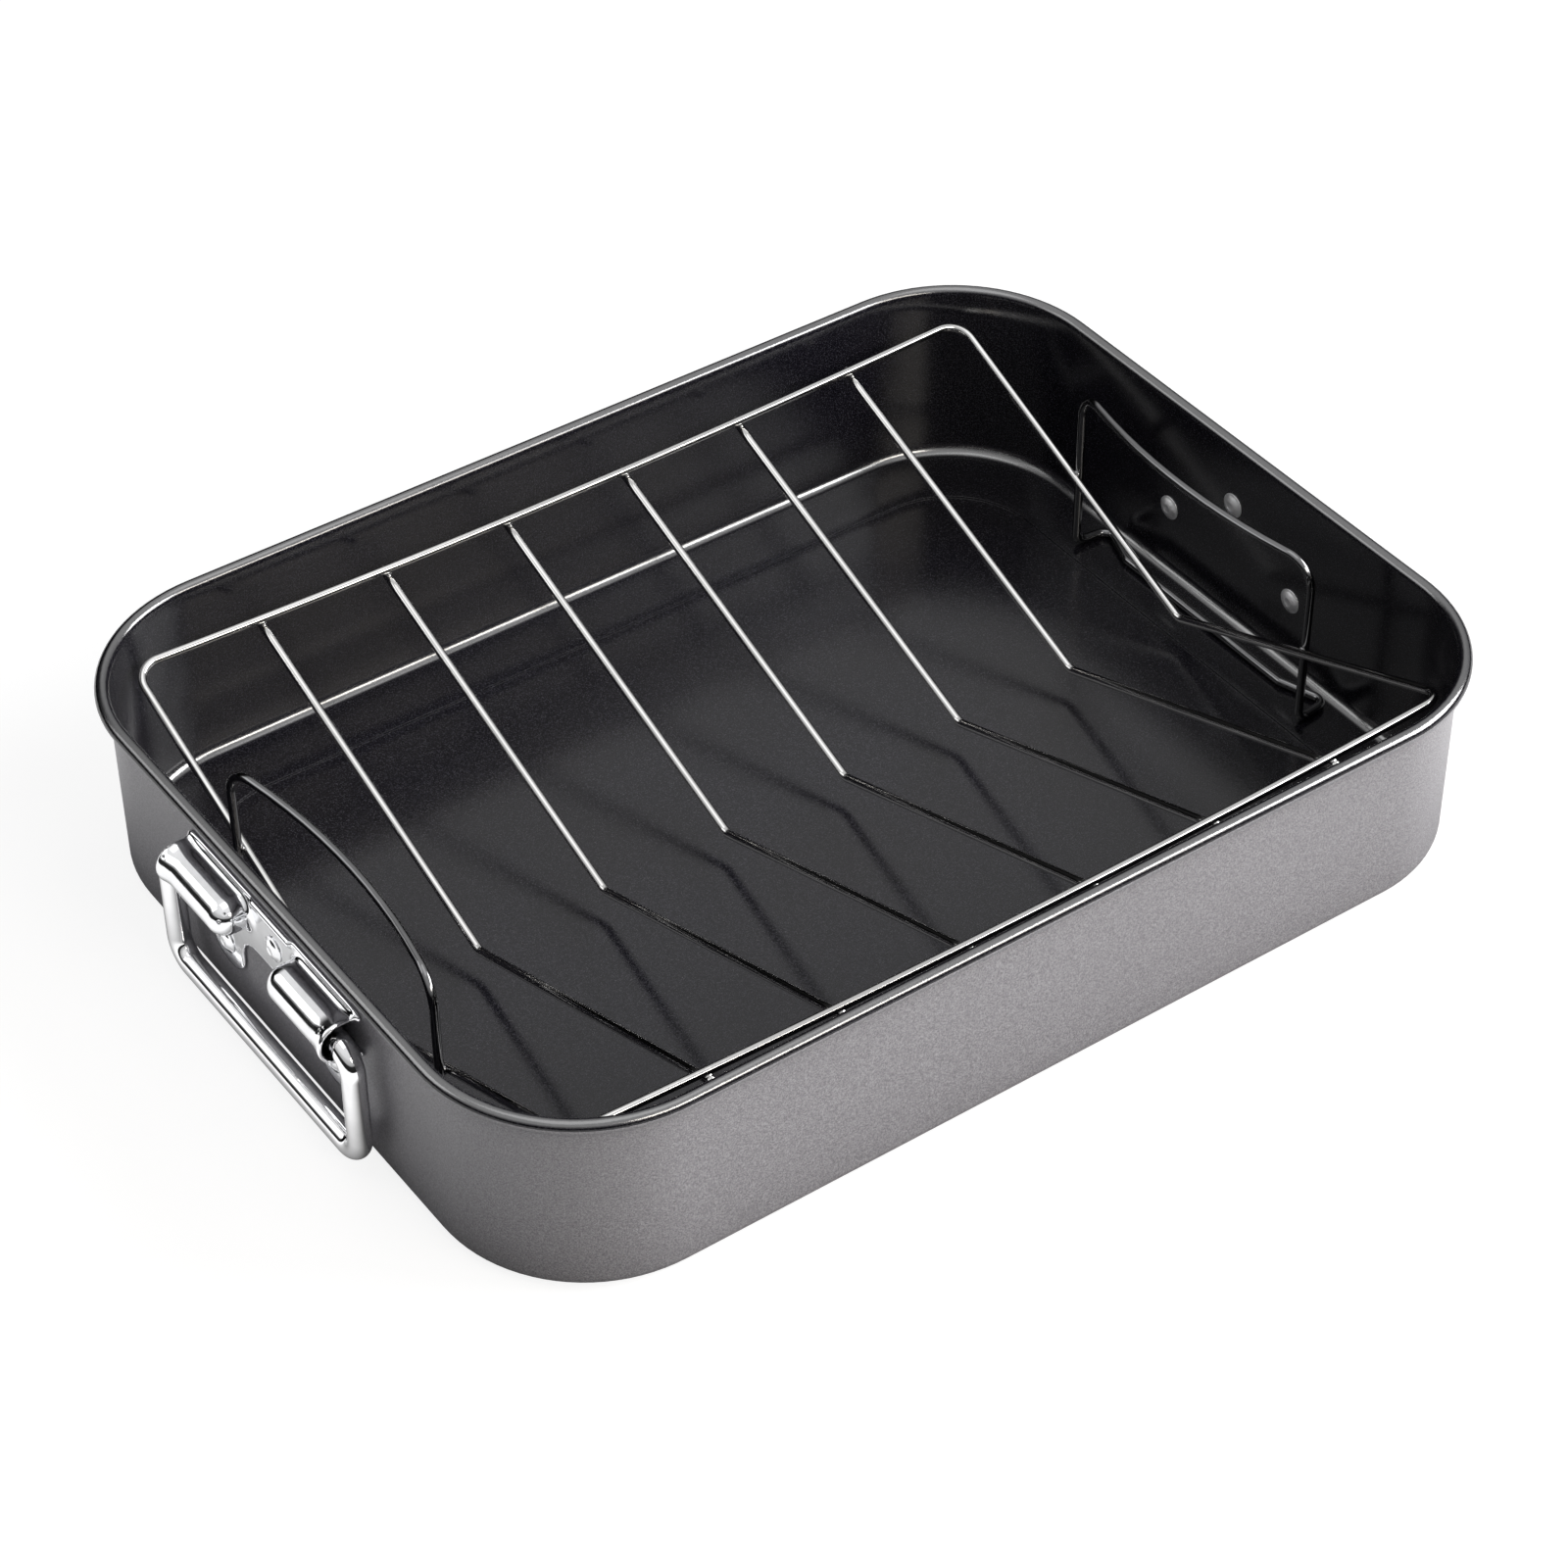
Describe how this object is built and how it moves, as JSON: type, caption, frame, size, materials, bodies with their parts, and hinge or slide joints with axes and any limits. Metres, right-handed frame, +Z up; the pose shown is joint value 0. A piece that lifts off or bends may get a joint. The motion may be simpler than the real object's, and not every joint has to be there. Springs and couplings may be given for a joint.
{
  "type": "roasting pan with rack",
  "caption": "Rectangular roasting pan with a rolled rim, swinging bail handles and a V-shaped wire rack that lifts out.",
  "frame": {"origin": "middle of the pan's footprint on the surface it stands on", "axes": "+X from the left handle to the right one, +Y across the pan, +Z up out of the pan"},
  "size_m": [0.4278, 0.308, 0.077],
  "materials": {
    "coated_steel": "satin grey non-stick coating",
    "bracket_chrome": "polished plate",
    "bail_chrome": "polished plate",
    "rivet_steel": "bright tumbled",
    "rack_chrome": "plated wire"
  },
  "bodies": {
    "pan": {"pan_body": "coated_steel", "handle_bracket_left": "bracket_chrome", "handle_bracket_right": "bracket_chrome", "rivet_left_upper": "rivet_steel", "rivet_left_lower_back": "rivet_steel", "rivet_left_lower_front": "rivet_steel", "rivet_right_upper": "rivet_steel", "rivet_right_lower_back": "rivet_steel", "rivet_right_lower_front": "rivet_steel"},
    "left_bail": {"bail_left": "bail_chrome"},
    "right_bail": {"bail_right": "bail_chrome"},
    "rack": {"rack_frame": "rack_chrome", "rack_wire_1": "rack_chrome", "rack_wire_2": "rack_chrome", "rack_wire_3": "rack_chrome", "rack_wire_4": "rack_chrome", "rack_wire_5": "rack_chrome", "rack_wire_6": "rack_chrome", "rack_support_left": "rack_chrome", "rack_support_right": "rack_chrome"}
  },
  "joints": [
    {"name": "left_bail_swing", "type": "hinge", "parent": "pan", "child": "left_bail", "pos_m": [-0.2059, 0, 0.0533], "axis": [0, 1, 0], "range_deg": [-3, 174]},
    {"name": "right_bail_swing", "type": "hinge", "parent": "pan", "child": "right_bail", "pos_m": [0.2059, 0, 0.0533], "axis": [0, -1, 0], "range_deg": [-3, 174]},
    {"name": "rack_lift", "type": "slide", "parent": "pan", "child": "rack", "axis": [0, 0, 1], "range_m": [0, 0.09]}
  ]
}
